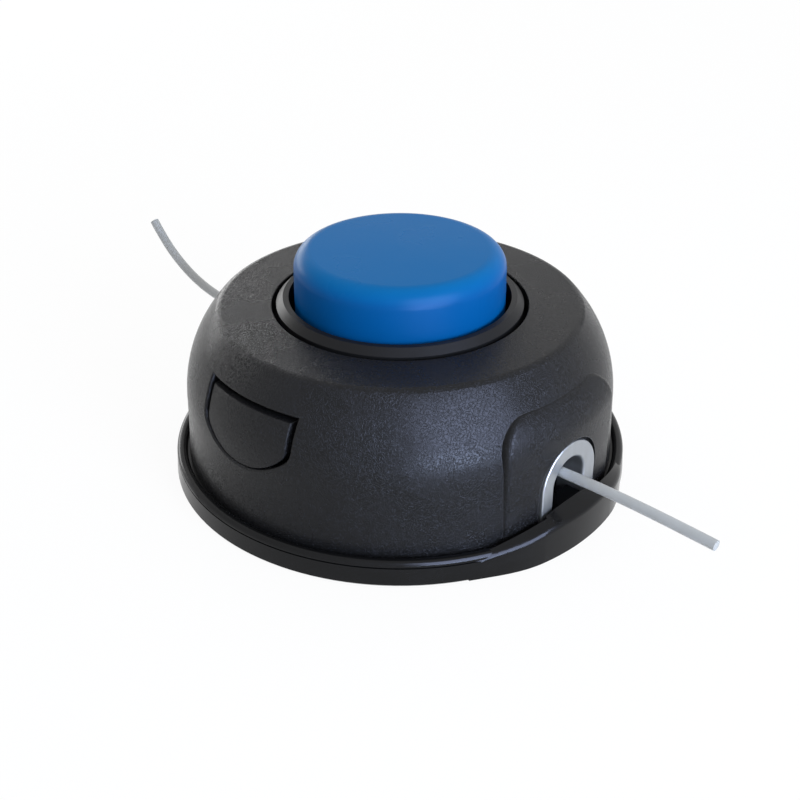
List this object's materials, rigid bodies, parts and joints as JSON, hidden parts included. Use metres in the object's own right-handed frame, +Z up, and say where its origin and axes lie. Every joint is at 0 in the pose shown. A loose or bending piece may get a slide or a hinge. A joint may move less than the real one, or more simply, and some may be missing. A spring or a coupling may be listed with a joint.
{
  "type": "trimmer head",
  "caption": "Round bump-feed string trimmer head: domed cover with push knob, metal line eyelets and side release tabs, on a ribbed drive housing with a threaded hub.",
  "frame": {"origin": "on the spindle axis, at the foot of the rim that the head stands on", "axes": "+Z up the spindle axis towards the knob, X through the two line eyelets, Y through the two release latches"},
  "size_m": [0.1898, 0.1106, 0.0548],
  "materials": {
    "housing_plastic": "glossy moulded black",
    "cover_plastic": "satin moulded black",
    "latch_plastic": "satin moulded black",
    "spool_plastic": "satin moulded black",
    "knob_plastic": "satin moulded blue",
    "eyelet_metal": "polished",
    "insert_steel": "machined",
    "spring_steel": "bright drawn",
    "line_nylon": "translucent grey nylon"
  },
  "bodies": {
    "housing": {"drive_housing": "housing_plastic", "arbor_insert": "insert_steel", "cover": "cover_plastic", "eyelet_right": "eyelet_metal", "eyelet_left": "eyelet_metal", "tap_spring": "spring_steel", "cutting_line_right": "line_nylon", "cutting_line_left": "line_nylon"},
    "plunger": {"thrust_washer": "spring_steel"},
    "spool": {"spool": "spool_plastic", "bump_knob": "knob_plastic", "line_winding_lower": "line_nylon", "line_winding_upper": "line_nylon"},
    "latch_front": {"latch_front": "latch_plastic"},
    "latch_rear": {"latch_rear": "latch_plastic"}
  },
  "joints": [
    {"name": "knob_tap", "type": "slide", "parent": "housing", "child": "plunger", "axis": [0, 0, 1], "range_m": [-0.0065, 0], "stiffness_N_per_m": 2000, "springref_m": 0.01, "deforming": ["tap_spring"]},
    {"name": "spool_index", "type": "hinge", "parent": "plunger", "child": "spool", "pos_m": [0, 0, 0.025], "axis": [0, 0, 1], "range_deg": [-20, 0]},
    {"name": "latch_front_press", "type": "hinge", "parent": "housing", "child": "latch_front", "pos_m": [0, -0.0465, 0.009], "axis": [-1, 0, 0], "range_deg": [0, 8.5], "stiffness_Nm_per_rad": 0.6, "springref_deg": -3.44},
    {"name": "latch_rear_press", "type": "hinge", "parent": "housing", "child": "latch_rear", "pos_m": [0, 0.0465, 0.009], "axis": [1, 0, 0], "range_deg": [0, 8.5], "stiffness_Nm_per_rad": 0.6, "springref_deg": -3.44}
  ]
}
